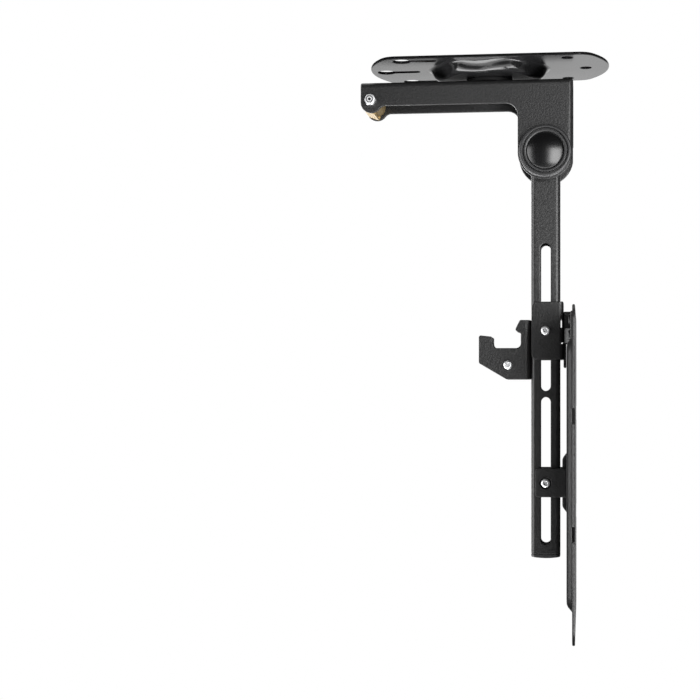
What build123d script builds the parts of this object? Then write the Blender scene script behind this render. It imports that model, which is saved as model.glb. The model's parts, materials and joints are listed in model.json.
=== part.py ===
from build123d import *
import os
from math import cos, radians, sin, sqrt

# Flip-down ceiling mount for a flat television, in millimetres.
# The origin is the centre of the ceiling plate's top face, +Z is up, and the television faces +X.

# Clearances
running_gap = 0.08
slide_gap = 0.3
seat_gap = 0.05
same_place = 0.01

# Ceiling plate
plate_length = 166.0
plate_width = 87.0
plate_thick = 2.0
plate_end_radius = 70.0
plate_corner = 12.0
dish_rim_radius = 40.5
dish_floor_radius = 33.5
dish_depth = 7.5
dish_lobes = 6
dish_wave = 2.0
first_valley = 270
# The dish wall from rim to floor: shares of the depth, of the spread about the middle radius and of the wave
dish_wall_steps = (
    (0.0, 0.8, 0.3), (0.05, 0.5, 0.5), (0.2, 0.22, 0.8), (0.5, 0.0, 1.0),
    (0.8, -0.22, 0.9), (0.95, -0.5, 0.7), (1.0, -0.8, 0.4),
)
keyhole_head = 12.0
keyhole_slot = 5.5
keyhole_run = 20.9
keyhole_from_end = 10.4
keyhole_row_from_end = 25.0
screw_hole_d = 7.5
screw_from_end = 16.0
screw_row_from_end = 28.6
hole_row_from_side = 9.5

# Swivel
swivel_bolt_d = 8.0
swivel_head_flats = 13.0
swivel_head_height = 5.3
swivel_head_washer_d = 24.0
swivel_head_washer_thick = 1.2
swivel_disc_d = 32.0
swivel_disc_thick = 2.4
swivel_washer_d = 24.0
swivel_washer_thick = 1.6
swivel_nut_height = 6.5
swivel_thread_end = 0.8

# L-bracket
bracket_sheet = 2.5
bracket_width = 34.6
bracket_reach_left = 88.8
bracket_side_depth = 16.5
bracket_bend = 4.0
bracket_shoulder = 2.0
bracket_inner_corner = 8.5
pivot_x = 39.3
pivot_drop = 50.4
pivot_lobe_radius = 19.0
back_web_end = 7.0
latch_lobe_radius = 7.5
latch_lobe_drop = 13.9
latch_lobe_blend = 5.0

# Pivot
pivot_bolt_d = 8.0
pivot_head_flats = 13.0
pivot_head_height = 4.4
pivot_nut_height = 4.4
pivot_washer_d = 16.0
pivot_washer_thick = 1.2
bush_spigot_d = 12.0
bush_flange_d = 27.0
bush_bore_wall = 1.9
cover_ring_radius = 18.0
cover_ring_height = 5.0
cover_ring_round = 1.4
cover_groove_radius = 15.2
cover_groove_width = 1.2
cover_groove_depth = 0.9
dome_radius = 12.4
dome_wall = 1.2
dome_shoulder = 5.4
dome_height = 8.6

# Arm tube
tube_size = 20.0
tube_wall = 1.5
tube_round = 3.0
tube_top_above_pivot = 10.3
tube_length = 287.5
slot_width = 7.0
slot_length = 102.0
slot_web = 4.3
slot_end_margin = 6.6
cap_head = 1.8
cap_crown = 0.9
cap_plug_length = 6.0
cap_plug_wall = 1.6

# Hook bracket
hook_sheet = 2.0
hook_width = 22.0
hook_reach = 36.2
hook_top_below_pivot = 115.2
hook_height = 41.1
hook_web_bend = 4.0
hook_corner = 1.5
hook_finger = 9.6
hook_finger_drop = 10.4
hook_finger_slope = 1.1
hook_notch_depth = 19.4
hook_notch_wall = 7.1
hook_notch_round = 3.4
hook_barb_reach = 11.3
hook_barb_drop = 7.2
hook_barb_top = 7.8
hook_barb_lip = 8.9
hook_chin_height = 11.3
hook_chin_reach = 19.2
hook_bolt_from_tube = 15.9
hook_bolt_below_top = 31.1

# Small machine screws of the hook and the clamps
screw_d = 4.0
screw_head_d = 6.2
screw_head_height = 2.2
screw_socket = 2.5
screw_socket_depth = 1.2
screw_nut_flats = 7.0
screw_nut_height = 3.2
screw_tip = 0.8
screw_washer_d = 7.6
screw_washer_thick = 0.6
nut_chamfer_share = 0.3
head_round_share = 0.6

# Latch
latch_x = -81.9
latch_drop = 12.5
latch_bolt_d = 4.0
latch_head_d = 7.0
latch_head_height = 2.4
latch_nut_flats = 7.1
latch_nut_height = 3.2
latch_collar_d = 5.9
latch_collar_height = 1.4
latch_sleeve_wall = 1.2
pawl_sheet = 1.1
pawl_width = 25.2
pawl_hub_radius = 4.6
pawl_roll_radius = 7.0
pawl_roll_top = 3.0
pawl_finger_left = 4.5
pawl_finger_right = 2.3
pawl_finger_drop = 8.5
pawl_lip_rise = 2.6
spring_wire = 0.8
spring_turns = 5
spring_pitch = 1.5

# Carriage on the arm
clamp_sheet = 2.0
clamp_top_below_pivot = 102.7
clamp_height = 40.0
clamp_corner = 4.0
clamp_bend = 3.0
clamp_bolt_below_top = 20.0
clamp_window_width = 1.1
clamp_window_behind_tube = 0.1
clamp_window_height = 6.0
clamp_window_below_top = 12.0
clamp_relief_d = 1.6
clamp_relief_below_top = 28.4
hanger_sheet = 1.8
hanger_width = 20.0
hanger_foot = 12.0
hanger_flare = 3.0
hanger_straight_height = 11.5
hanger_top_below_pivot = 109.6
hanger_height = 22.0
hanger_tab_width = 12.0
hanger_tab_below_clamp = 5.6
strap_sheet = 2.0
strap_bend = 3.0
lower_top_below_pivot = 217.7
lower_ear_height = 20.0
lower_ear_round = 2.0
lower_ear_overlap = 16.9
lower_ear_hole = 7.9
bridge_sheet = 3.0
bridge_behind_tube = 1.5
bridge_crest_height = 33.0
bridge_shoulder = 6.0
bridge_crest_round = 4.0
bridge_foot = 7.0
lower_bolt_below_top = 10.3
plate_back_gap = 8.9

# Television plate
tv_sheet = 1.8
tv_width = 220.0
tv_height = 216.0
tv_corner = 10.0
tv_top_below_pivot = 109.8
tv_rib_depth = 3.6
tv_rib_length = 175.0
tv_rib_width = 22.0
tv_rib_from_edge = 4.0
tv_rib_slope = 50
tv_rib_round = 6.0
tv_notch_height = 9.2
tv_notch_depth = 8.0
tv_notch_spread = 74.4
vesa_small = 75.0
vesa_medium = 100.0
vesa_large = 200.0
vesa_hole = 5.0
vesa_large_hole = 6.5
rivet_d = 4.0
rivet_head_d = 7.0
rivet_head_height = 1.4

# Derived levels and planes
dish_under = -(plate_thick + dish_depth)
bracket_top = dish_under - swivel_disc_thick
pivot_z = bracket_top - pivot_drop
half_width = bracket_width / 2
inner_half_width = half_width - bracket_sheet
side_bottom = bracket_top - bracket_side_depth
leg_right = pivot_x + pivot_lobe_radius
latch_z = bracket_top - latch_drop
half_tube = tube_size / 2
tube_front = pivot_x - half_tube
tube_back = pivot_x + half_tube
tube_top = pivot_z + tube_top_above_pivot
tube_bottom = tube_top - tube_length
clamp_inner = half_tube + slide_gap
clamp_outer = clamp_inner + clamp_sheet
clamp_web_x = tube_back + slide_gap
clamp_back = clamp_web_x + clamp_sheet
plate_back = tube_back + plate_back_gap
plate_face = plate_back + tv_sheet
bridge_crest = tube_back + bridge_behind_tube
clamp_top = pivot_z - clamp_top_below_pivot
lower_top = pivot_z - lower_top_below_pivot
tv_top = pivot_z - tv_top_below_pivot
tv_middle = tv_top - tv_height / 2
hook_top = pivot_z - hook_top_below_pivot
far = 400.0


def block(x0, x1, y0, y1, z0, z1):
    """A box given by its limits along each axis."""
    return Pos((x0 + x1) / 2, (y0 + y1) / 2, (z0 + z1) / 2) * Box(x1 - x0, y1 - y0, z1 - z0)


def rod(x, z, diameter, y0, y1):
    """A round bar along Y."""
    return Pos(x, (y0 + y1) / 2, z) * Rot(90, 0, 0) * Cylinder(diameter / 2, abs(y1 - y0))


def hexagon_bar(flats, length):
    """A hexagonal bar standing on the local XY plane, a flat facing down Y."""
    return extrude(RegularPolygon(flats / 2, 6, major_radius=False), amount=length)


def across(profile, width):
    """A profile drawn in X and Z, made solid over a width centred on Y = 0."""
    return extrude(Plane.XZ * profile, amount=width / 2, both=True)


def facing(side, x, y, z):
    """A place whose local +Z points out along -Y (side -1) or +Y (side 1)."""
    return Pos(x, y, z) * Rot(-90 * side, 0, 0)


def save(node, shape):
    """One STEP file for each node."""
    export_step(shape, f"parts/{node}.step")


def washer(outer_d, bore_d, thick):
    """A flat ring standing on the local XY plane."""
    return extrude(Circle(outer_d / 2) - Circle(bore_d / 2), amount=thick)


def chamfered_nut(flats, bore_d, height):
    """A hexagon nut on the local XY plane, the corners of its outer face turned off."""
    corner = flats / sqrt(3)
    blank = hexagon_bar(flats, height)
    turned = extrude(Circle(corner), amount=height)
    rim = turned.faces().sort_by(Axis.Z)[-1].edges()
    turned = chamfer(rim, height * nut_chamfer_share, corner - flats / 2)
    return (blank & turned) - Cylinder(bore_d / 2, far)


def socket_screw(head_d, head_height, shank_d, length):
    """A button screw: the head's seat on the local XY plane, the head up +Z, the shank down -Z."""
    head = extrude(Circle(head_d / 2), amount=head_height)
    head = fillet(head.faces().sort_by(Axis.Z)[-1].edges(), head_height * head_round_share)
    head -= Pos(0, 0, head_height - screw_socket_depth) * hexagon_bar(screw_socket, head_height)
    return head + extrude(Circle(shank_d / 2), amount=-length)


def dish_outline(radius, wave, level):
    """The wavy outline of the dish at one level, through the crest and the valley of each lobe."""
    points = []
    for half_lobe in range(2 * dish_lobes):
        bearing = radians(first_valley + 180 / dish_lobes * half_lobe)
        reach = radius + (wave if half_lobe % 2 else -wave)
        points.append((reach * cos(bearing), reach * sin(bearing)))
    return Pos(0, 0, level) * make_face(Spline(*points, periodic=True))


def dish_form(top):
    """The dish as a body: an S-shaped wall from the plate's level down to the floor."""
    middle = (dish_rim_radius + dish_floor_radius) / 2
    spread = dish_rim_radius - dish_floor_radius
    return loft([
        dish_outline(middle + share * spread, swell * dish_wave, top - down * dish_depth)
        for down, share, swell in dish_wall_steps
    ])


def keyhole(x, y):
    """A keyhole along X, its round head towards -X."""
    slot = SlotCenterToCenter(keyhole_run, keyhole_slot)
    return Pos(x, y) * (Circle(keyhole_head / 2) + Pos(keyhole_run / 2, 0) * slot)


def make_ceiling_plate():
    """Stamped plate with curved ends, a scalloped dish and the ceiling screw holes."""
    half_l = plate_length / 2
    half_w = plate_width / 2
    corner_x = half_l - plate_end_radius + sqrt(plate_end_radius**2 - half_w**2)
    outline = make_face([
        Line((-corner_x, half_w), (corner_x, half_w)),
        ThreePointArc((corner_x, half_w), (half_l, 0), (corner_x, -half_w)),
        Line((corner_x, -half_w), (-corner_x, -half_w)),
        ThreePointArc((-corner_x, -half_w), (-half_l, 0), (-corner_x, half_w)),
    ])
    outline = fillet(outline.vertices(), plate_corner)
    plate = extrude(outline, amount=-plate_thick) + dish_form(-plate_thick)
    plate -= dish_form(0)
    row_y = half_w - hole_row_from_side
    holes = keyhole(keyhole_from_end - half_l, 0)
    holes += Pos(half_l - screw_from_end, 0) * Circle(screw_hole_d / 2)
    for side in (-1, 1):
        holes += keyhole(keyhole_row_from_end - half_l, side * row_y)
        holes += Pos(half_l - screw_row_from_end, side * row_y) * Circle(screw_hole_d / 2)
    plate -= extrude(holes, amount=-far)
    return plate - Cylinder(swivel_bolt_d / 2 + seat_gap, far)


def make_swivel():
    """Bolt, washers, friction disc and locking nut of the swivel, stacked down from the dish floor."""
    bore = swivel_bolt_d + 2 * seat_gap
    floor = -dish_depth
    seat = floor + swivel_head_washer_thick
    under_web = bracket_top - bracket_sheet
    nut_top = under_web - swivel_washer_thick
    tip = nut_top - swivel_nut_height - swivel_thread_end
    head = Pos(0, 0, seat) * hexagon_bar(swivel_head_flats, swivel_head_height)
    bolt = head + Pos(0, 0, seat) * extrude(Circle(swivel_bolt_d / 2), amount=tip - seat)
    nut = chamfered_nut(swivel_head_flats, bore, swivel_nut_height)
    save("swivel_bolt", bolt)
    head_washer = washer(swivel_head_washer_d, bore, swivel_head_washer_thick)
    save("swivel_head_washer", Pos(0, 0, floor) * head_washer)
    save("swivel_disc", Pos(0, 0, bracket_top) * washer(swivel_disc_d, bore, swivel_disc_thick))
    save("swivel_washer", Pos(0, 0, nut_top) * washer(swivel_washer_d, bore, swivel_washer_thick))
    save("swivel_nut", Pos(0, 0, nut_top) * Rot(180, 0, 0) * nut)


def make_l_bracket():
    """Channel with a web along the top and down the back of the leg, and lobed side plates."""
    lobe_x = -bracket_reach_left + latch_lobe_radius
    lobe_z = bracket_top - latch_lobe_drop
    top_leg = Pos((lobe_x + leg_right) / 2, (bracket_top + side_bottom) / 2)
    profile = top_leg * Rectangle(leg_right - lobe_x, bracket_side_depth)
    profile += Pos(lobe_x, (bracket_top + lobe_z) / 2) * Rectangle(2 * latch_lobe_radius, latch_lobe_drop)
    profile += Pos(lobe_x, lobe_z) * Circle(latch_lobe_radius)
    profile += Pos(pivot_x, (bracket_top + pivot_z) / 2) * Rectangle(2 * pivot_lobe_radius, pivot_drop)
    profile += Pos(pivot_x, pivot_z) * Circle(pivot_lobe_radius)
    inner = [v for v in profile.vertices() if abs(v.Y - side_bottom) < same_place]
    inner.sort(key=lambda v: v.X)
    profile = fillet(inner[-1], bracket_inner_corner)
    blend = [v for v in profile.vertices() if abs(v.Y - side_bottom) < same_place]
    blend.sort(key=lambda v: v.X)
    profile = fillet(blend[0], latch_lobe_blend)
    right_corners = [v for v in profile.vertices() if v.X > leg_right - same_place]
    shoulder = [v for v in right_corners if v.Y > bracket_top - same_place]
    profile = fillet(shoulder, bracket_shoulder)
    bracket = across(profile, bracket_width)
    top_round = Pos(0, bracket_top - far / 2) * RectangleRounded(bracket_width, far, bracket_bend)
    bracket &= extrude(Plane.YZ * top_round, amount=far, both=True)
    back_round = Pos(leg_right - far / 2, 0) * RectangleRounded(far, bracket_width, bracket_bend)
    bracket &= extrude(back_round, amount=far, both=True)
    inner_bend = bracket_bend - bracket_sheet
    under_top = Pos(0, bracket_top - bracket_sheet - far / 2)
    under_top = under_top * RectangleRounded(2 * inner_half_width, far, inner_bend)
    before_back = Pos(leg_right - bracket_sheet - far / 2, 0)
    before_back = before_back * RectangleRounded(far, 2 * inner_half_width, inner_bend)
    inside = extrude(Plane.YZ * under_top, amount=far, both=True)
    bracket -= inside & extrude(before_back, amount=far, both=True)
    bracket -= block(pivot_x, far, -inner_half_width, inner_half_width, -far, pivot_z + back_web_end)
    bracket -= rod(pivot_x, pivot_z, pivot_bolt_d + 2 * seat_gap, -far, far)
    bracket -= rod(latch_x, latch_z, latch_bolt_d + 2 * seat_gap, -far, far)
    return bracket - Cylinder(swivel_bolt_d / 2 + running_gap, far)


def make_pivot():
    """Bolt with its nut and washers, flanged bushes, spacer and the round covers."""
    bore = pivot_bolt_d + 2 * seat_gap
    seat = half_width + pivot_washer_thick
    near = facing(-1, pivot_x, -half_width, pivot_z)
    opposite = facing(1, pivot_x, half_width, pivot_z)
    grip = 2 * seat + pivot_nut_height
    bolt = hexagon_bar(pivot_head_flats, pivot_head_height) + extrude(Circle(pivot_bolt_d / 2), amount=-grip)
    save("pivot_bolt", facing(-1, pivot_x, -seat, pivot_z) * bolt)
    nut = chamfered_nut(pivot_head_flats, bore, pivot_nut_height)
    save("pivot_nut", facing(1, pivot_x, seat, pivot_z) * nut)
    ring = washer(pivot_washer_d, bore, pivot_washer_thick)
    save("pivot_washers", Compound([near * ring, opposite * ring]))
    bush_bore = pivot_bolt_d + 2 * running_gap
    flange = inner_half_width - half_tube - slide_gap
    bush = washer(bush_flange_d, bush_bore, flange)
    bush += Pos(0, 0, -tube_wall) * washer(bush_spigot_d, bush_bore, tube_wall)
    bushes = [facing(side, pivot_x, side * half_tube, pivot_z) * bush for side in (-1, 1)]
    save("pivot_bushes", Compound(bushes))
    inner_span = tube_size - 2 * tube_wall
    spacer = washer(bush_spigot_d + 2 * bush_bore_wall, bush_bore, inner_span)
    save("pivot_spacer", facing(1, pivot_x, -inner_span / 2, pivot_z) * spacer)
    ring_bore = dome_radius + seat_gap
    cover = washer(2 * cover_ring_radius, 2 * ring_bore, cover_ring_height)
    cover = fillet(cover.edges().filter_by(GeomType.CIRCLE).sort_by(Axis.Z)[-2:], cover_ring_round)
    half_groove = cover_groove_width / 2
    groove = Circle(cover_groove_radius + half_groove) - Circle(cover_groove_radius - half_groove)
    cover -= Pos(0, 0, cover_ring_height - cover_groove_depth) * extrude(groove, amount=cover_groove_depth)
    save("pivot_cover_rings", Compound([near * cover, opposite * cover]))
    dome = dome_body(dome_radius, dome_shoulder, dome_height)
    dome -= dome_body(dome_radius - dome_wall, dome_shoulder - dome_wall, dome_height - dome_wall)
    save("pivot_domes", Compound([near * dome, opposite * dome]))


def dome_body(radius, shoulder, height):
    """A round cap with a domed top, standing on the local XY plane."""
    rise = height - shoulder
    sphere = (radius**2 + rise**2) / (2 * rise)
    upright = Pos(0, 0, height / 2) * Cylinder(radius, height)
    return upright & (Pos(0, 0, height - sphere) * Sphere(sphere))


def make_arm():
    """Slotted square tube with its pivot holes, and the plug in its lower end."""
    section = RectangleRounded(tube_size, tube_size, tube_round)
    bore_size = tube_size - 2 * tube_wall
    section -= RectangleRounded(bore_size, bore_size, tube_round - tube_wall)
    tube = Pos(pivot_x, 0, tube_bottom) * extrude(section, amount=tube_length)
    lower_slot = tube_bottom + slot_end_margin + slot_length / 2
    upper_slot = lower_slot + slot_length + slot_web
    slot = Rot(0, 0, 90) * SlotOverall(slot_length, slot_width)
    for level in (lower_slot, upper_slot):
        tube -= across(Pos(pivot_x, level) * slot, 2 * tube_size)
    tube -= rod(pivot_x, pivot_z, bush_spigot_d + 2 * seat_gap, -tube_size, tube_size)
    save("arm_tube", tube)
    plug = bore_size - 2 * seat_gap
    hollow = plug - 2 * cap_plug_wall
    cap = extrude(RectangleRounded(tube_size, tube_size, tube_round), amount=-cap_head - cap_crown)
    crown = ((tube_size / 2)**2 + cap_crown**2) / (2 * cap_crown)
    cap &= across(Pos(0, crown - cap_head - cap_crown) * Circle(crown), tube_size)
    ring = RectangleRounded(plug, plug, tube_round - tube_wall) - Rectangle(hollow, hollow)
    cap += extrude(ring, amount=cap_plug_length)
    save("tube_end_cap", Pos(pivot_x, 0, tube_bottom) * cap)


def make_hook():
    """Folded catch: two hook plates with a notch and a barb, joined by a web against the tube."""
    left = tube_front - hook_reach
    bottom = hook_top - hook_height
    finger_top = hook_top - hook_finger_drop
    finger_right = left + hook_finger
    notch_floor = hook_top - hook_notch_depth
    notch_right = tube_front - hook_notch_wall
    barb_x = tube_front - hook_barb_reach
    outline = Polyline(
        (tube_front, hook_top),
        (tube_front - hook_barb_top, hook_top),
        (barb_x, hook_top - hook_barb_drop),
        (notch_right, hook_top - hook_barb_lip),
        (notch_right, notch_floor),
        (finger_right, notch_floor),
        (finger_right, finger_top - hook_finger_slope),
        (left, finger_top),
        (left, bottom + hook_chin_height),
        (left + hook_chin_reach, bottom),
        (tube_front, bottom),
        close=True,
    )
    plate = make_face(outline)
    floor = [v for v in plate.vertices() if abs(v.Y - notch_floor) < same_place]
    plate = fillet(floor, hook_notch_round)
    free = [v for v in plate.vertices() if v.X < tube_front - same_place]
    soft = [v for v in free if is_outer_corner(v, notch_floor, notch_right)]
    plate = fillet(soft, hook_corner)
    hook = across(plate, hook_width)
    bend = Pos(tube_front - far / 2, 0) * RectangleRounded(far, hook_width, hook_web_bend)
    hook &= extrude(bend, amount=far, both=True)
    half_gap = hook_width / 2 - hook_sheet
    inside = Pos(tube_front - hook_sheet - far / 2, 0)
    inside = inside * RectangleRounded(far, 2 * half_gap, hook_web_bend - hook_sheet)
    hook -= extrude(inside, amount=far, both=True)
    bolt_x = tube_front - hook_bolt_from_tube
    bolt_z = hook_top - hook_bolt_below_top
    hook -= rod(bolt_x, bolt_z, screw_d + 2 * seat_gap, -far, far)
    save("hook_bracket", hook)
    save_screw("hook", bolt_x, bolt_z, hook_width / 2, hook_width / 2)


def is_outer_corner(vertex, notch_floor, notch_right):
    """True for a corner of the hook that is rounded lightly: not one of the notch's own fillets."""
    near_floor = abs(vertex.Y - notch_floor) < hook_notch_round + same_place
    between = tube_front - hook_reach + same_place < vertex.X < notch_right + same_place
    return not (near_floor and between)


def save_screw(owner, x, z, near_grip, far_grip):
    """A cross screw through a folded piece: head and washer on the near side, nut on the far side."""
    seat = near_grip + screw_washer_thick
    length = seat + far_grip + screw_nut_height + screw_tip
    screw = socket_screw(screw_head_d, screw_head_height, screw_d, length)
    bore = screw_d + 2 * seat_gap
    save(f"{owner}_bolt", facing(-1, x, -seat, z) * screw)
    ring = washer(screw_washer_d, bore, screw_washer_thick)
    save(f"{owner}_bolt_washer", facing(-1, x, -near_grip, z) * ring)
    nut = chamfered_nut(screw_nut_flats, bore, screw_nut_height)
    save(f"{owner}_nut", facing(1, x, far_grip, z) * nut)


def make_latch():
    """Bolt with its locking nut and sleeve, the sprung pawl of folded sheet, and its coil spring."""
    bore = latch_bolt_d + 2 * seat_gap
    length = 2 * half_width + latch_nut_height + latch_collar_height
    bolt = socket_screw(latch_head_d, latch_head_height, latch_bolt_d, length)
    save("latch_bolt", facing(1, latch_x, half_width, latch_z) * bolt)
    nut = chamfered_nut(latch_nut_flats, bore, latch_nut_height)
    nut += Pos(0, 0, latch_nut_height) * washer(latch_collar_d, bore, latch_collar_height)
    save("latch_nut", facing(-1, latch_x, -half_width, latch_z) * nut)
    sleeve_d = bore + 2 * latch_sleeve_wall
    sleeve = washer(sleeve_d, bore, 2 * inner_half_width)
    save("latch_sleeve", facing(1, latch_x, -inner_half_width, latch_z) * sleeve)
    lips = Pos(-pawl_finger_left, -pawl_finger_drop + pawl_lip_rise) * Circle(pawl_sheet / 2)
    lips += Pos(pawl_finger_right, -pawl_finger_drop) * Circle(pawl_sheet / 2)
    below = Pos(pawl_roll_radius, pawl_roll_top - far / 2) * Rectangle(2 * pawl_roll_radius, far)
    roll = Circle(pawl_roll_radius) & below
    cheek = make_hull((lips + Circle(pawl_hub_radius)).edges()) + roll
    pawl = across(cheek, pawl_width)
    gap = pawl_width / 2 - pawl_sheet
    keep = make_hull(lips.edges()) + (roll - Circle(pawl_roll_radius - pawl_sheet))
    pawl -= across(cheek, 2 * gap) - across(keep, 2 * gap)
    pawl -= rod(0, 0, sleeve_d + 2 * running_gap, -far, far)
    save("latch_pawl", Pos(latch_x, 0, latch_z) * pawl)
    coil_radius = sleeve_d / 2 + spring_wire / 2 + slide_gap
    rise = spring_turns * spring_pitch
    path = Helix(spring_pitch, rise, coil_radius)
    wire = Plane(origin=path @ 0, z_dir=path % 0) * Circle(spring_wire / 2)
    coil = sweep(wire, path=path)
    save("latch_spring", facing(1, latch_x, -rise / 2, latch_z) * coil)


def make_upper_clamp():
    """Folded clamp round the tube, open towards the hook, with sight windows beside its bend."""
    left = tube_front + slide_gap
    side = Rectangle(clamp_back - left, clamp_height)
    side = Pos((left + clamp_back) / 2, clamp_top - clamp_height / 2) * side
    side = fillet([v for v in side.vertices() if v.X < left + same_place], clamp_corner)
    clamp = across(side, 2 * clamp_outer)
    bend = Pos(clamp_back - far / 2, 0) * RectangleRounded(far, 2 * clamp_outer, clamp_bend)
    clamp &= extrude(bend, amount=far, both=True)
    inside = Pos(clamp_web_x - far / 2, 0) * RectangleRounded(far, 2 * clamp_inner, clamp_bend - clamp_sheet)
    clamp -= extrude(inside, amount=far, both=True)
    window_x = tube_back + clamp_window_behind_tube
    window_end = window_x + clamp_window_width
    window_top = clamp_top - clamp_window_below_top
    clamp -= block(window_x, window_end, -far, far, window_top - clamp_window_height, window_top)
    clamp -= rod(window_end, clamp_top - clamp_relief_below_top, clamp_relief_d, -far, far)
    bolt_z = clamp_top - clamp_bolt_below_top
    clamp -= rod(pivot_x, bolt_z, screw_d + 2 * seat_gap, -far, far)
    save("upper_clamp", clamp)
    save_screw("clamp", pivot_x, bolt_z, clamp_outer, clamp_outer)


def hanger_stretch(base_half, top, height):
    """One stretch of the hanger's hat section, its cheeks spreading to a given half-width at the plate."""
    half = hanger_width / 2
    foot = half + hanger_foot
    foot_face = plate_back - hanger_sheet
    crest_back = clamp_back + hanger_sheet
    outer = [(plate_back, foot), (foot_face, foot), (foot_face, base_half), (clamp_back, half)]
    inner = [(crest_back, half - hanger_sheet), (plate_back, base_half - hanger_sheet)]
    points = outer + [(x, -y) for x, y in reversed(outer)]
    points += [(x, -y) for x, y in reversed(inner)] + inner
    return Pos(0, 0, top - height) * extrude(make_face(Polyline(*points, close=True)), amount=height)


def make_hanger():
    """Hat-section hanger between the clamp's web and the plate: straight above, flared below, with a tab."""
    top = pivot_z - hanger_top_below_pivot
    flare_top = top - hanger_straight_height
    tab_top = top - hanger_height
    hanger = hanger_stretch(hanger_width / 2, top, hanger_straight_height)
    hanger += hanger_stretch(hanger_width / 2 + hanger_flare, flare_top, flare_top - tab_top)
    tab_half = hanger_tab_width / 2
    tab_bottom = clamp_top - clamp_height - hanger_tab_below_clamp
    hanger += block(clamp_back, clamp_back + hanger_sheet, -tab_half, tab_half, tab_bottom, tab_top)
    for y, z in hanger_rivets():
        hanger -= rivet_hole(y, z)
    return hanger


def rivet_hole(y, z):
    """A rivet's hole along X, through the sheets that meet at the plate's back."""
    depth = 2 * (tv_sheet + max(hanger_sheet, bridge_sheet))
    return Pos(plate_back, y, z) * Rot(0, 90, 0) * Cylinder(rivet_d / 2 + seat_gap, depth)


def hanger_rivets():
    """Where the hanger's feet are riveted to the plate, as Y and Z."""
    top = pivot_z - hanger_top_below_pivot
    reach = (hanger_width + hanger_flare + hanger_foot) / 2
    levels = (top - hanger_height / 4, top - hanger_height * 3 / 4)
    return [(side * reach, level) for side in (-1, 1) for level in levels]


def bridge_rivets():
    """Where the lower bridge's feet are riveted to the plate, as Y and Z."""
    middle = lower_top - lower_ear_height / 2
    reach = bridge_crest_height / 2 + bridge_shoulder + bridge_foot / 2
    return [(0, middle + side * reach) for side in (-1, 1)]


def make_lower_bridge():
    """Hat-shaped bridge on the plate: a crest behind the tube, sloped shoulders and two feet."""
    half = bridge_crest_height / 2
    foot_end = half + bridge_shoulder + bridge_foot
    foot_start = half + bridge_shoulder
    foot_face = plate_back - bridge_sheet
    crest_back = bridge_crest + bridge_sheet
    tube_side = [(plate_back, foot_end), (foot_face, foot_end), (foot_face, foot_start), (bridge_crest, half)]
    plate_side = [(crest_back, half - bridge_sheet / 2), (plate_back, foot_start)]
    points = tube_side + [(x, -z) for x, z in reversed(tube_side)]
    points += [(x, -z) for x, z in reversed(plate_side)] + plate_side
    profile = make_face(Polyline(*points, close=True))
    profile = fillet([v for v in profile.vertices() if v.X < bridge_crest + same_place], bridge_crest_round)
    middle = lower_top - lower_ear_height / 2
    inner_bend = strap_bend - strap_sheet
    bridge = across(Pos(0, middle) * profile, 2 * (clamp_inner - inner_bend))
    for y, z in bridge_rivets():
        bridge -= rivet_hole(y, z)
    return bridge


def make_lower_bracket():
    """Strap that runs behind the bridge's crest, its two ears bent forward round the tube."""
    back = bridge_crest + bridge_sheet + strap_sheet
    left = tube_back - lower_ear_overlap
    side = Rectangle(back - left, lower_ear_height)
    side = Pos((left + back) / 2, lower_top - lower_ear_height / 2) * side
    side = fillet([v for v in side.vertices() if v.X < left + same_place], lower_ear_round)
    strap = across(side, 2 * clamp_outer)
    bend = Pos(back - far / 2, 0) * RectangleRounded(far, 2 * clamp_outer, strap_bend)
    strap &= extrude(bend, amount=far, both=True)
    inside = Pos(back - strap_sheet - far / 2, 0)
    inside = inside * RectangleRounded(far, 2 * clamp_inner, strap_bend - strap_sheet)
    strap -= extrude(inside, amount=far, both=True)
    bolt_z = lower_top - lower_bolt_below_top
    strap -= rod(pivot_x, bolt_z, lower_ear_hole, -far, 0)
    strap -= rod(pivot_x, bolt_z, screw_d + 2 * seat_gap, 0, far)
    save("lower_bracket", strap)
    save_screw("lower", pivot_x, bolt_z, clamp_inner, clamp_outer)


def make_tv_plate():
    """Flat sheet with a pressed rib along each side, edge notches, screw patterns and rivet holes."""
    sheet = RectangleRounded(tv_width, tv_height, tv_corner)
    for spacing in (vesa_small, vesa_medium):
        for y, z in square(spacing):
            sheet -= Pos(y, z) * Circle(vesa_hole / 2)
    for y, z in square(vesa_large):
        sheet -= Pos(y, z) * Circle(vesa_large_hole / 2)
    for y, z in hanger_rivets() + bridge_rivets():
        sheet -= Pos(y, z - tv_middle) * Circle(rivet_d / 2 + seat_gap)
    for y, z in square(tv_notch_spread):
        edge = tv_width / 2 if y > 0 else -tv_width / 2
        sheet -= Pos(edge, z) * Rectangle(2 * tv_notch_depth, tv_notch_height)
    plate = Pos(plate_back, 0, tv_middle) * extrude(Plane.YZ * sheet, amount=tv_sheet)
    rib_y = (tv_width - tv_rib_width) / 2 - tv_rib_from_edge
    for y in (-rib_y, rib_y):
        plate += Pos(plate_back, y, tv_middle) * rib_form()
        plate -= Pos(plate_face, y, tv_middle) * rib_form()
    return plate


def rib_form():
    """A long rib with sloped sides and round ends, standing out from X = 0 towards -X."""
    foot = Rot(0, 0, 90) * SlotOverall(tv_rib_length, tv_rib_width)
    rib = extrude(Plane.YZ * foot, amount=-tv_rib_depth, taper=tv_rib_slope)
    return fillet(rib.faces().sort_by(Axis.X)[0].edges(), tv_rib_round)


def square(spacing):
    """The four corners of a square screw pattern."""
    return [(y * spacing / 2, z * spacing / 2) for y in (-1, 1) for z in (-1, 1)]


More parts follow.
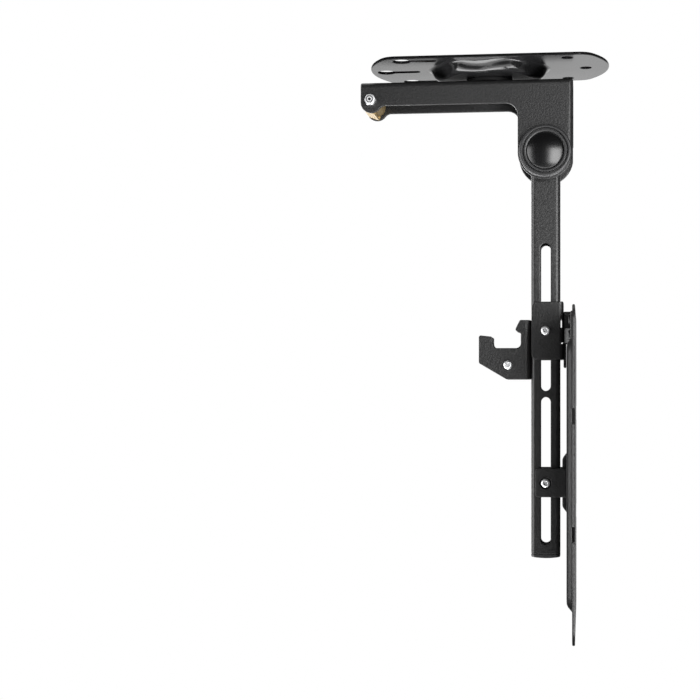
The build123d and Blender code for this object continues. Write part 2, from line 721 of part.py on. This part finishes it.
def make_rivets():
    """Rivets through the television plate, heads on the arm's side."""
    rivets = []
    for places, sheet in ((hanger_rivets(), hanger_sheet), (bridge_rivets(), bridge_sheet)):
        head = extrude(Circle(rivet_head_d / 2), amount=rivet_head_height)
        head = fillet(head.faces().sort_by(Axis.Z)[-1].edges(), rivet_head_height * head_round_share)
        rivet = head + extrude(Circle(rivet_d / 2), amount=-(sheet + tv_sheet))
        for y, z in places:
            rivets.append(Pos(plate_back - sheet, y, z) * Rot(0, -90, 0) * rivet)
    return Compound(rivets)


os.makedirs("parts", exist_ok=True)
save("ceiling_plate", make_ceiling_plate())
make_swivel()
save("l_bracket", make_l_bracket())
make_pivot()
make_arm()
make_hook()
make_latch()
make_upper_clamp()
save("plate_hanger", make_hanger())
save("lower_bridge", make_lower_bridge())
make_lower_bracket()
save("tv_plate", make_tv_plate())
save("plate_rivets", make_rivets())
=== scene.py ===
import json
import math

import bmesh
import bpy
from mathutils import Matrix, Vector


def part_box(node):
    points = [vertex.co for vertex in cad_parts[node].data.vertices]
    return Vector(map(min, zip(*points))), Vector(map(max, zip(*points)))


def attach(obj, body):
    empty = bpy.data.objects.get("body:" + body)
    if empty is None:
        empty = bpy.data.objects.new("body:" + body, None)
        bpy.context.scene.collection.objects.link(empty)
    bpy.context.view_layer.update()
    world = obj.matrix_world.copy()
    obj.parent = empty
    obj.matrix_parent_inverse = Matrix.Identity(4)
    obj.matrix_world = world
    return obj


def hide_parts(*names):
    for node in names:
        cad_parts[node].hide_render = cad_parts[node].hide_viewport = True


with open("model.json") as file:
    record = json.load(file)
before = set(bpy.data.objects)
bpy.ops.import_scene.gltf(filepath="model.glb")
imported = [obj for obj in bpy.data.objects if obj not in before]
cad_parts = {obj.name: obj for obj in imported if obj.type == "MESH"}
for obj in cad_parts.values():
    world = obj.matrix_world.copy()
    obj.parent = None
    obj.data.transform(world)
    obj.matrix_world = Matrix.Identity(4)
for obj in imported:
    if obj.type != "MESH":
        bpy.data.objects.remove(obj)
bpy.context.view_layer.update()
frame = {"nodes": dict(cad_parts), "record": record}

# Sizes are in metres, in the mount's own frame: +Z up to the ceiling, +X the way the television faces.
MM = 0.001

# Camera: a level view along the pivot from below the ceiling, framed for a square picture
CAMERA_PLACE = (0.065, -1.090, -0.2308)
CAMERA_TILT = math.radians(90)
CAMERA_TURN = math.radians(6.7)
CAMERA_LENS = 80.07
CAMERA_SENSOR = 36.0
CAMERA_SHIFT = (-0.0716, 0.0671)

# Edges that the paint rounds off: how far two faces fold to count as an edge, and how wide the rounding is
EDGE_FOLD = math.radians(28)
SHEET_EDGE = 0.7 * MM
MOULDED_EDGE = 0.3 * MM
TURNED_EDGE = 0.18 * MM
EDGE_STEPS = 2
# Where rounding would crease a narrow face over itself, the edges within reach (in edge widths) stay crisp
CREASE_FOLD = math.radians(100)
SPARED_REACH = 2.0
EASE_RETRIES = 3
# Corners closer than this are one corner, and faces that fold less are one flat face
JOIN_DISTANCE = 0.002 * MM
FLAT_FOLD = math.radians(0.05)
# Faces that fold less than this are shaded as one smooth surface
SMOOTH_FOLD = math.radians(32)

# Groove round each pivot cover ring: where its floor lies and how much further it is sunk
RINGS = "pivot_cover_rings"
GROOVE_BAND = (14.0 * MM, 16.4 * MM)
GROOVE_DEPTH = 0.9 * MM
GROOVE_SINK = 1.6 * MM

# Turned details at the end of the latch bolt, as (radius, way out) in millimetres: a dark ring that is the
# nut's insert and also paints the shade of the gap round the bolt, and a dark disc painted as the shade in the
# bolt's hollow end
TURN_STEPS = 40
INSERT_AND_GAP_SHADE_PROFILE = ((1.85, -0.2), (1.85, 0.06), (1.95, 0.14), (2.35, 0.14), (2.45, 0.06), (2.45, -0.2))
# A dark disc proud of the bolt's end, painted as the shade in its hollow
HOLLOW_SHADE_PROFILE = ((0.0, 0.05), (0.75, 0.07), (0.95, 0.05), (1.0, -0.1), (0.0, -0.1))

# How much of each finer layer of a noise shows in the coarser one
NOISE_FINENESS = 0.55


class Wire:
    """An output socket; arithmetic on it adds Math nodes to its tree."""

    def __init__(self, shading, socket):
        self.shading = shading
        self.socket = socket

    def math(self, operation, first, second):
        """A Math node on two values or wires."""
        return self.shading.node("ShaderNodeMath", {"operation": operation}, {0: first, 1: second})

    def __add__(self, other):
        return self.math("ADD", self, other)

    def __radd__(self, other):
        return self.math("ADD", other, self)

    def __sub__(self, other):
        return self.math("SUBTRACT", self, other)

    def __rsub__(self, other):
        return self.math("SUBTRACT", other, self)

    def __mul__(self, other):
        return self.math("MULTIPLY", self, other)

    def __rmul__(self, other):
        return self.math("MULTIPLY", other, self)


class Shading:
    """A node tree whose nodes are all added by one method."""

    def __init__(self, tree):
        self.tree = tree

    def node(self, kind, settings, sockets, output=0):
        """Adds a node: its settings first, then the values or wires of its sockets."""
        made = self.tree.nodes.new(kind)
        for key, value in settings.items():
            setattr(made, key, value)
        for key, value in sockets.items():
            self.feed(made.inputs[key], value)
        return Wire(self, made.outputs[output])

    def feed(self, socket, value):
        """Links a wire to a socket, or sets a plain value on it."""
        if isinstance(value, Wire):
            self.tree.links.new(value.socket, socket)
        else:
            socket.default_value = value

    def ramp(self, value, span, result):
        """A soft turn from one result to another while a value crosses a span."""
        ends = {"From Min": span[0], "From Max": span[1], "To Min": result[0], "To Max": result[1]}
        return self.node(
            "ShaderNodeMapRange", {"interpolation_type": "SMOOTHSTEP"}, {"Value": value, **ends},
        )


class Finish(Shading):
    """A surface finish: a material on the piece's own coordinates."""

    def __init__(self, name):
        self.material = bpy.data.materials.new(name)
        self.material.use_nodes = True
        super().__init__(self.material.node_tree)
        self.shader = self.tree.nodes["Principled BSDF"]
        self.place = self.node("ShaderNodeTexCoord", {}, {}, "Object")

    def surface(self, **sockets):
        """Sets the shader's own sockets, named with underscores for blanks."""
        for key, value in sockets.items():
            self.feed(self.shader.inputs[key.replace("_", " ")], value)

    def noise(self, cells, layers=2.0):
        """Cloudy noise over the piece, about 0 to 1, with so many cells to the metre."""
        return self.node(
            "ShaderNodeTexNoise", {"noise_dimensions": "3D"},
            {"Vector": self.place, "Scale": cells, "Detail": layers, "Roughness": NOISE_FINENESS},
        )

    def mix(self, share, first, second):
        """A colour between two colours."""
        mixed = {"Factor": share, 6: rgba(first), 7: rgba(second)}
        return self.node("ShaderNodeMix", {"data_type": "RGBA"}, mixed, 2)

    def bumps(self, height, depth, strength):
        """A normal for a surface that rises and falls by so much."""
        return self.node("ShaderNodeBump", {}, {"Height": height, "Distance": depth, "Strength": strength})


def rgba(colour):
    """A colour with full opacity, or a wire left as it is."""
    return colour if isinstance(colour, Wire) else (*colour, 1.0)


def powder_coat():
    """Satin black powder coat: a fine orange-peel grain with slightly uneven gloss."""
    finish = Finish("satin black powder coat")
    peel = finish.noise(cells=750.0)
    cloud = finish.noise(cells=22.0)
    hollows, crests = (0.001, 0.001, 0.0011), (0.014, 0.014, 0.0143)
    finish.surface(
        Base_Color=finish.mix(peel, hollows, crests),
        Roughness=0.30 + 0.16 * peel + 0.06 * cloud,
        Normal=finish.bumps(peel, depth=0.2 * MM, strength=0.8),
    )
    return finish.material


def gloss_paint():
    """Glossier black paint of the ceiling plate, with a faint ripple from the press."""
    finish = Finish("glossy black paint")
    ripple = finish.noise(cells=90.0)
    grain = finish.noise(cells=1100.0)
    deep_black, lit_black = (0.007, 0.007, 0.0075), (0.012, 0.012, 0.0125)
    finish.surface(
        Base_Color=finish.mix(grain, deep_black, lit_black),
        Roughness=0.15 + 0.03 * ripple + 0.04 * grain,
        Normal=finish.bumps(ripple, depth=0.03 * MM, strength=0.12),
    )
    return finish.material


def moulding(name, dark, light, roughness, depth, sheen=0.5):
    """Black moulded plastic with a fine mould grain."""
    finish = Finish(name)
    grain = finish.noise(cells=1300.0)
    finish.surface(
        Base_Color=finish.mix(grain, dark, light),
        Roughness=roughness + 0.06 * grain,
        Specular_IOR_Level=sheen,
        Normal=finish.bumps(grain, depth, strength=0.2),
    )
    return finish.material


def bright_zinc():
    """Bright zinc plate: pale metal with faint clouding and fine scratches."""
    finish = Finish("bright zinc plate")
    cloud = finish.noise(cells=260.0, layers=3.0)
    scratch = finish.noise(cells=2600.0, layers=1.0)
    grey, pale = (0.60, 0.61, 0.62), (0.76, 0.76, 0.77)
    finish.surface(
        Base_Color=finish.mix(cloud, grey, pale),
        Metallic=0.8,
        Roughness=0.34 + 0.1 * cloud + 0.06 * scratch,
        Normal=finish.bumps(scratch, depth=0.012 * MM, strength=0.15),
    )
    return finish.material


def yellow_zinc():
    """Yellow chromated zinc: dull gold with drifts of tan."""
    finish = Finish("yellow chromated zinc")
    drift = finish.noise(cells=180.0)
    tint = finish.noise(cells=70.0, layers=1.0)
    grain = finish.noise(cells=1800.0)
    dark_gold, pale_gold, tan = (0.40, 0.27, 0.09), (0.58, 0.44, 0.21), (0.42, 0.34, 0.22)
    gold = finish.mix(drift, dark_gold, pale_gold)
    finish.surface(
        Base_Color=finish.mix(0.35 * tint, gold, tan),
        Metallic=0.8,
        Roughness=0.50 + 0.12 * drift,
        Normal=finish.bumps(grain, depth=0.015 * MM, strength=0.15),
    )
    return finish.material


def black_plate():
    """Black plated steel of washers and rivets."""
    finish = Finish("black plated steel")
    cloud = finish.noise(cells=300.0)
    dark, worn = (0.012, 0.012, 0.013), (0.03, 0.03, 0.031)
    finish.surface(
        Base_Color=finish.mix(cloud, dark, worn),
        Metallic=0.35,
        Roughness=0.3 + 0.12 * cloud,
    )
    return finish.material


FINISHES = {
    "powder_coat": powder_coat(),
    "gloss_paint": gloss_paint(),
    "black_plastic": moulding(
        "satin black moulding", dark=(0.012, 0.012, 0.0125), light=(0.022, 0.022, 0.023),
        roughness=0.38, depth=0.03 * MM,
    ),
    "gloss_plastic": moulding(
        "glossy black moulding", dark=(0.002, 0.002, 0.0022), light=(0.003, 0.003, 0.0032),
        roughness=0.22, depth=0.004 * MM,
    ),
    # Dull bearing plastic of the swivel disc, its darker colour painted shade of the gap under the dish
    "dull_plastic_and_painted_shade": moulding(
        "dull black bearing plastic darkened as painted shade", dark=(0.002, 0.002, 0.0021), light=(0.004, 0.004, 0.0042),
        roughness=0.6, depth=0.03 * MM, sheen=0.12,
    ),
    "zinc": bright_zinc(),
    "yellow_zinc": yellow_zinc(),
    "black_zinc": black_plate(),
}
EDGE_WIDTHS = {
    "powder_coat": SHEET_EDGE,
    "gloss_paint": SHEET_EDGE,
    "black_plastic": MOULDED_EDGE,
    "gloss_plastic": MOULDED_EDGE,
    "zinc": TURNED_EDGE,
    "yellow_zinc": TURNED_EDGE,
    "black_zinc": TURNED_EDGE,
}
SLOT_OF = {part["node"]: part["material_slot"] for part in frame["record"]["subparts"]}
BODY_OF = {node: body for body, nodes in frame["record"]["behaviour"]["bodies"].items() for node in nodes}
# Each piece has the finish of its slot, but for the swivel disc, whose dull plastic is also darker than the
# rest of its slot as painted shade under the dish
FINISH_OF = {**SLOT_OF, "swivel_disc": "dull_plastic_and_painted_shade"}


def eased(node, width):
    """A copy of a piece with its crisp edges rounded off by the paint, in place of the plain solid."""
    spared = []
    form = rounded(node, width, spared)
    for _ in range(EASE_RETRIES):
        creases = [edge for edge in form.edges if edge.is_manifold and edge.calc_face_angle() > CREASE_FOLD]
        spared += [middle(edge) for edge in creases]
        form.free()
        form = rounded(node, width, spared)
    piece = finished(form, f"{node}_eased", BODY_OF[node], FINISH_OF[node])
    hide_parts(node)


def rounded(node, width, spared):
    """The form of a piece with its crisp edges rounded off, but for those close to the spared places."""
    form = bmesh.new()
    form.from_mesh(frame["nodes"][node].data)
    bmesh.ops.remove_doubles(form, verts=form.verts, dist=JOIN_DISTANCE)
    bmesh.ops.dissolve_limit(form, angle_limit=FLAT_FOLD, verts=form.verts, edges=form.edges)
    if node == RINGS:
        sink_grooves(form)
    crisp = [
        edge for edge in form.edges
        if edge.is_manifold and edge.calc_face_angle() > EDGE_FOLD
        and all((vert.co - place).length > SPARED_REACH * width for vert in edge.verts for place in spared)
    ]
    bmesh.ops.bevel(
        form, geom=crisp, offset=width, offset_type="OFFSET", segments=EDGE_STEPS, profile=0.5,
        affect="EDGES", material=-1, clamp_overlap=False,
    )
    return form


def sink_grooves(form):
    """Sinks the floor of the groove in both pivot cover rings, so that it reads as a dark line."""
    low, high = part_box(RINGS)
    axis = Vector(((low[0] + high[0]) / 2, (low[2] + high[2]) / 2))
    for face, inward in ((low[1], 1.0), (high[1], -1.0)):
        level = face + inward * GROOVE_DEPTH
        floor = [
            vert for vert in form.verts
            if abs(vert.co.y - level) < JOIN_DISTANCE
            and GROOVE_BAND[0] < (vert.co.xz - axis).length < GROOVE_BAND[1]
        ]
        bmesh.ops.translate(form, verts=floor, vec=(0, inward * GROOVE_SINK, 0))


def middle(edge):
    """The point halfway along an edge."""
    return (edge.verts[0].co + edge.verts[1].co) / 2


def finished(form, name, body, finish):
    """A piece from its form: evenly shaded, in its finish and riding on its body."""
    mesh = bpy.data.meshes.new(name)
    form.to_mesh(mesh)
    form.free()
    for face in mesh.polygons:
        face.use_smooth = True
    mesh.set_sharp_from_angle(angle=SMOOTH_FOLD)
    mesh.materials.append(FINISHES[finish])
    piece = bpy.data.objects.new(name, mesh)
    bpy.context.scene.collection.objects.link(piece)
    weighted = piece.modifiers.new("even shading", "WEIGHTED_NORMAL")
    weighted.keep_sharp = True
    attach(piece, body)
    return piece


def turned(name, profile, closed, place, body, slot):
    """A small piece turned about an axis along Y, from (radius, way out along -Y) points in millimetres."""
    form = bmesh.new()
    points = [form.verts.new((radius * MM, -out * MM, 0)) for radius, out in profile]
    pairs = list(zip(points, points[1:] + points[:1]))
    edges = [form.edges.new(pair) for pair in (pairs if closed else pairs[:-1])]
    bmesh.ops.spin(
        form, geom=points + edges, cent=(0, 0, 0), axis=(0, 1, 0), dvec=(0, 0, 0), angle=math.tau,
        steps=TURN_STEPS, use_merge=True,
    )
    bmesh.ops.remove_doubles(form, verts=form.verts, dist=JOIN_DISTANCE)
    bmesh.ops.recalc_face_normals(form, faces=form.faces)
    bmesh.ops.translate(form, verts=form.verts, vec=place)
    finished(form, name, body, slot)


for node, slot in SLOT_OF.items():
    solid = frame["nodes"][node].data
    solid.materials.clear()
    solid.materials.append(FINISHES[FINISH_OF[node]])
    eased(node, EDGE_WIDTHS[slot])

# End of the latch bolt: the locking nut's dark insert round it, which also paints the shade of the gap there,
# and a dark metal disc, proud of the bolt, painted as the shade of the hollow that its thread ends in
nut_low, nut_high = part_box("latch_nut")
nut_end = ((nut_low[0] + nut_high[0]) / 2, nut_low[1], (nut_low[2] + nut_high[2]) / 2)
turned("latch_nut_insert_and_gap_shade", INSERT_AND_GAP_SHADE_PROFILE, True, nut_end, BODY_OF["latch_nut"], "black_plastic")
turned("latch_bolt_hollow_shade", HOLLOW_SHADE_PROFILE, False, nut_end, BODY_OF["latch_bolt"], "black_zinc")


# Studio: a pale round floor well below, a white room and soft lamps
FLOOR_LEVEL = -1.15
FLOOR_RADIUS = 3.5
FLOOR_STEPS = 96
FLOOR_COLOUR = (0.86, 0.86, 0.86)
FLOOR_ROUGHNESS = 0.8
FLOOR_GLOW = 0.6
WHITE = (1.0, 1.0, 1.0)
# The camera sees a white room; its light is bright behind the mount, dim behind the camera and faint elsewhere.
# The spans say how far a direction points away from the camera (1) or back at it (-1).
ROOM_DIM = 0.04
ROOM_BEHIND = (0.85, 0.98)
ROOM_FRONT = (-0.8, -0.95)
ROOM_FRONT_LIGHT = 0.06
# Soft boxes; the light of some passes by pieces that would mirror it too brightly
LAMPS = {
    "right soft box": dict(
        place=(0.90, -1.35, -0.35), aim=(0.04, 0.0, -0.2), width=1.0, height=1.4, watts=47.0,
        passed_by=("ceiling_plate",),
    ),
    "front right box": dict(
        place=(0.33, -1.57, -0.35), aim=(0.04, 0.0, -0.2), width=0.3, height=1.4, watts=3.0,
    ),
    "left soft box": dict(
        place=(-1.34, -0.78, -0.25), aim=(0.0, 0.0, -0.2), width=0.85, height=1.4, watts=19.0,
        passed_by=("ceiling_plate",),
    ),
    "left side box": dict(
        place=(-1.55, -0.22, -0.3), aim=(0.05, 0.0, -0.3), width=0.5, height=1.4, watts=13.0,
        passed_by=("ceiling_plate",),
    ),
    "low box": dict(
        place=(0.0, 0.1, -1.12), aim=(0.0, 0.1, 0.0), width=2.4, height=0.85, watts=54.0,
        passed_by=("tv_plate", "latch_pawl"),
    ),
    "low front box": dict(
        place=(0.0, -0.62, -1.12), aim=(0.0, -0.62, 0.0), width=2.4, height=0.6, watts=14.0,
        passed_by=("tv_plate", "latch_pawl"),
    ),
    "top box": dict(
        place=(-0.1, 0.5, 1.3), aim=(0.0, 0.0, 0.0), width=1.8, height=1.2, watts=12.0,
    ),
    "back soft box": dict(
        place=(-0.75, 1.45, -0.2), aim=(0.0, 0.0, -0.2), width=1.0, height=1.4, watts=16.0,
        passed_by=("ceiling_plate", "tv_plate"),
    ),
}


def make_floor():
    """A floor that looks pale from every side and throws no light up at the mount."""
    form = bmesh.new()
    bmesh.ops.create_circle(form, cap_ends=True, segments=FLOOR_STEPS, radius=FLOOR_RADIUS)
    bmesh.ops.translate(form, verts=form.verts, vec=(0, 0, FLOOR_LEVEL))
    mesh = bpy.data.meshes.new("studio_floor")
    form.to_mesh(mesh)
    form.free()
    pale = Finish("pale studio floor")
    pale.surface(
        Base_Color=rgba(FLOOR_COLOUR), Roughness=FLOOR_ROUGHNESS,
        Emission_Color=rgba(WHITE), Emission_Strength=FLOOR_GLOW,
    )
    mesh.materials.append(pale.material)
    floor = bpy.data.objects.new("studio_floor", mesh)
    bpy.context.scene.collection.objects.link(floor)
    floor.visible_diffuse = False
    floor.visible_glossy = False


def make_room():
    """A backdrop that the camera sees as white and that lights the mount mostly from behind."""
    world = bpy.data.worlds.new("white room")
    bpy.context.scene.world = world
    world.use_nodes = True
    shading = Shading(world.node_tree)
    toward = shading.node("ShaderNodeTexCoord", {}, {}, "Generated")
    depth = shading.node("ShaderNodeSeparateXYZ", {}, {"Vector": toward}, "Y")
    behind = shading.ramp(depth, ROOM_BEHIND, (ROOM_DIM, 1.0))
    front = shading.ramp(depth, ROOM_FRONT, (0.0, ROOM_FRONT_LIGHT))
    seen = shading.node("ShaderNodeLightPath", {}, {}, "Is Camera Ray")
    light = seen + (1.0 - seen) * (behind + front)
    shading.feed(world.node_tree.nodes["Background"].inputs["Color"], light)


def soft_lamp(name, place, aim, width, height, watts, passed_by=()):
    """A soft box that faces a point of the mount and leaves some pieces unlit."""
    data = bpy.data.lights.new(name, "AREA")
    data.shape = "RECTANGLE"
    data.size = width
    data.size_y = height
    data.energy = watts
    lamp = bpy.data.objects.new(name, data)
    lamp.location = place
    lamp.rotation_euler = (Vector(aim) - Vector(place)).to_track_quat("-Z", "Y").to_euler()
    bpy.context.scene.collection.objects.link(lamp)
    if passed_by:
        unlit = bpy.data.collections.new(f"unlit by the {name}")
        for node in passed_by:
            unlit.objects.link(bpy.data.objects[f"{node}_eased"])
        for entry in unlit.collection_objects:
            entry.light_linking.link_state = "EXCLUDE"
        lamp.light_linking.receiver_collection = unlit


def make_camera():
    """A level camera, turned a little, whose shift frames the mount off the middle of the picture."""
    data = bpy.data.cameras.new("camera")
    data.sensor_width = CAMERA_SENSOR
    data.lens = CAMERA_LENS
    data.shift_x, data.shift_y = CAMERA_SHIFT
    camera = bpy.data.objects.new("camera", data)
    camera.location = CAMERA_PLACE
    camera.rotation_euler = (CAMERA_TILT, 0, CAMERA_TURN)
    bpy.context.scene.collection.objects.link(camera)
    bpy.context.scene.camera = camera


bpy.context.scene.view_settings.view_transform = "Standard"
make_floor()
make_room()
for name, settings in LAMPS.items():
    soft_lamp(name, **settings)
make_camera()
